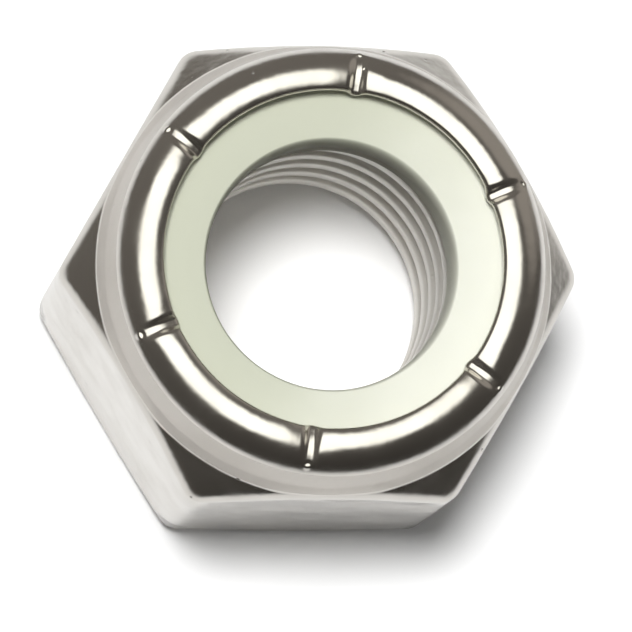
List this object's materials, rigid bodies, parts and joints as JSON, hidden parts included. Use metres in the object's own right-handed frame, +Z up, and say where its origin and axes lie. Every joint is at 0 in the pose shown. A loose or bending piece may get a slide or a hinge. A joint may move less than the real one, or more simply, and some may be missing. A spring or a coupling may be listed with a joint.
{
  "type": "lock nut",
  "caption": "Hexagon lock nut: a steel body whose crimped, rolled collar holds a nylon ring over the threaded bore, so the ring grips the bolt.",
  "frame": {"origin": "centre of the bearing face", "axes": "+Z up the bore axis from the bearing face to the collar, a corner of the hexagon on +X"},
  "size_m": [0.0218, 0.019, 0.0151],
  "materials": {
    "stainless_steel": "bright, cold-formed and tumbled",
    "nylon": "natural, slightly translucent"
  },
  "bodies": {
    "root": {"nut_body": "stainless_steel", "nylon_ring": "nylon"}
  },
  "joints": []
}
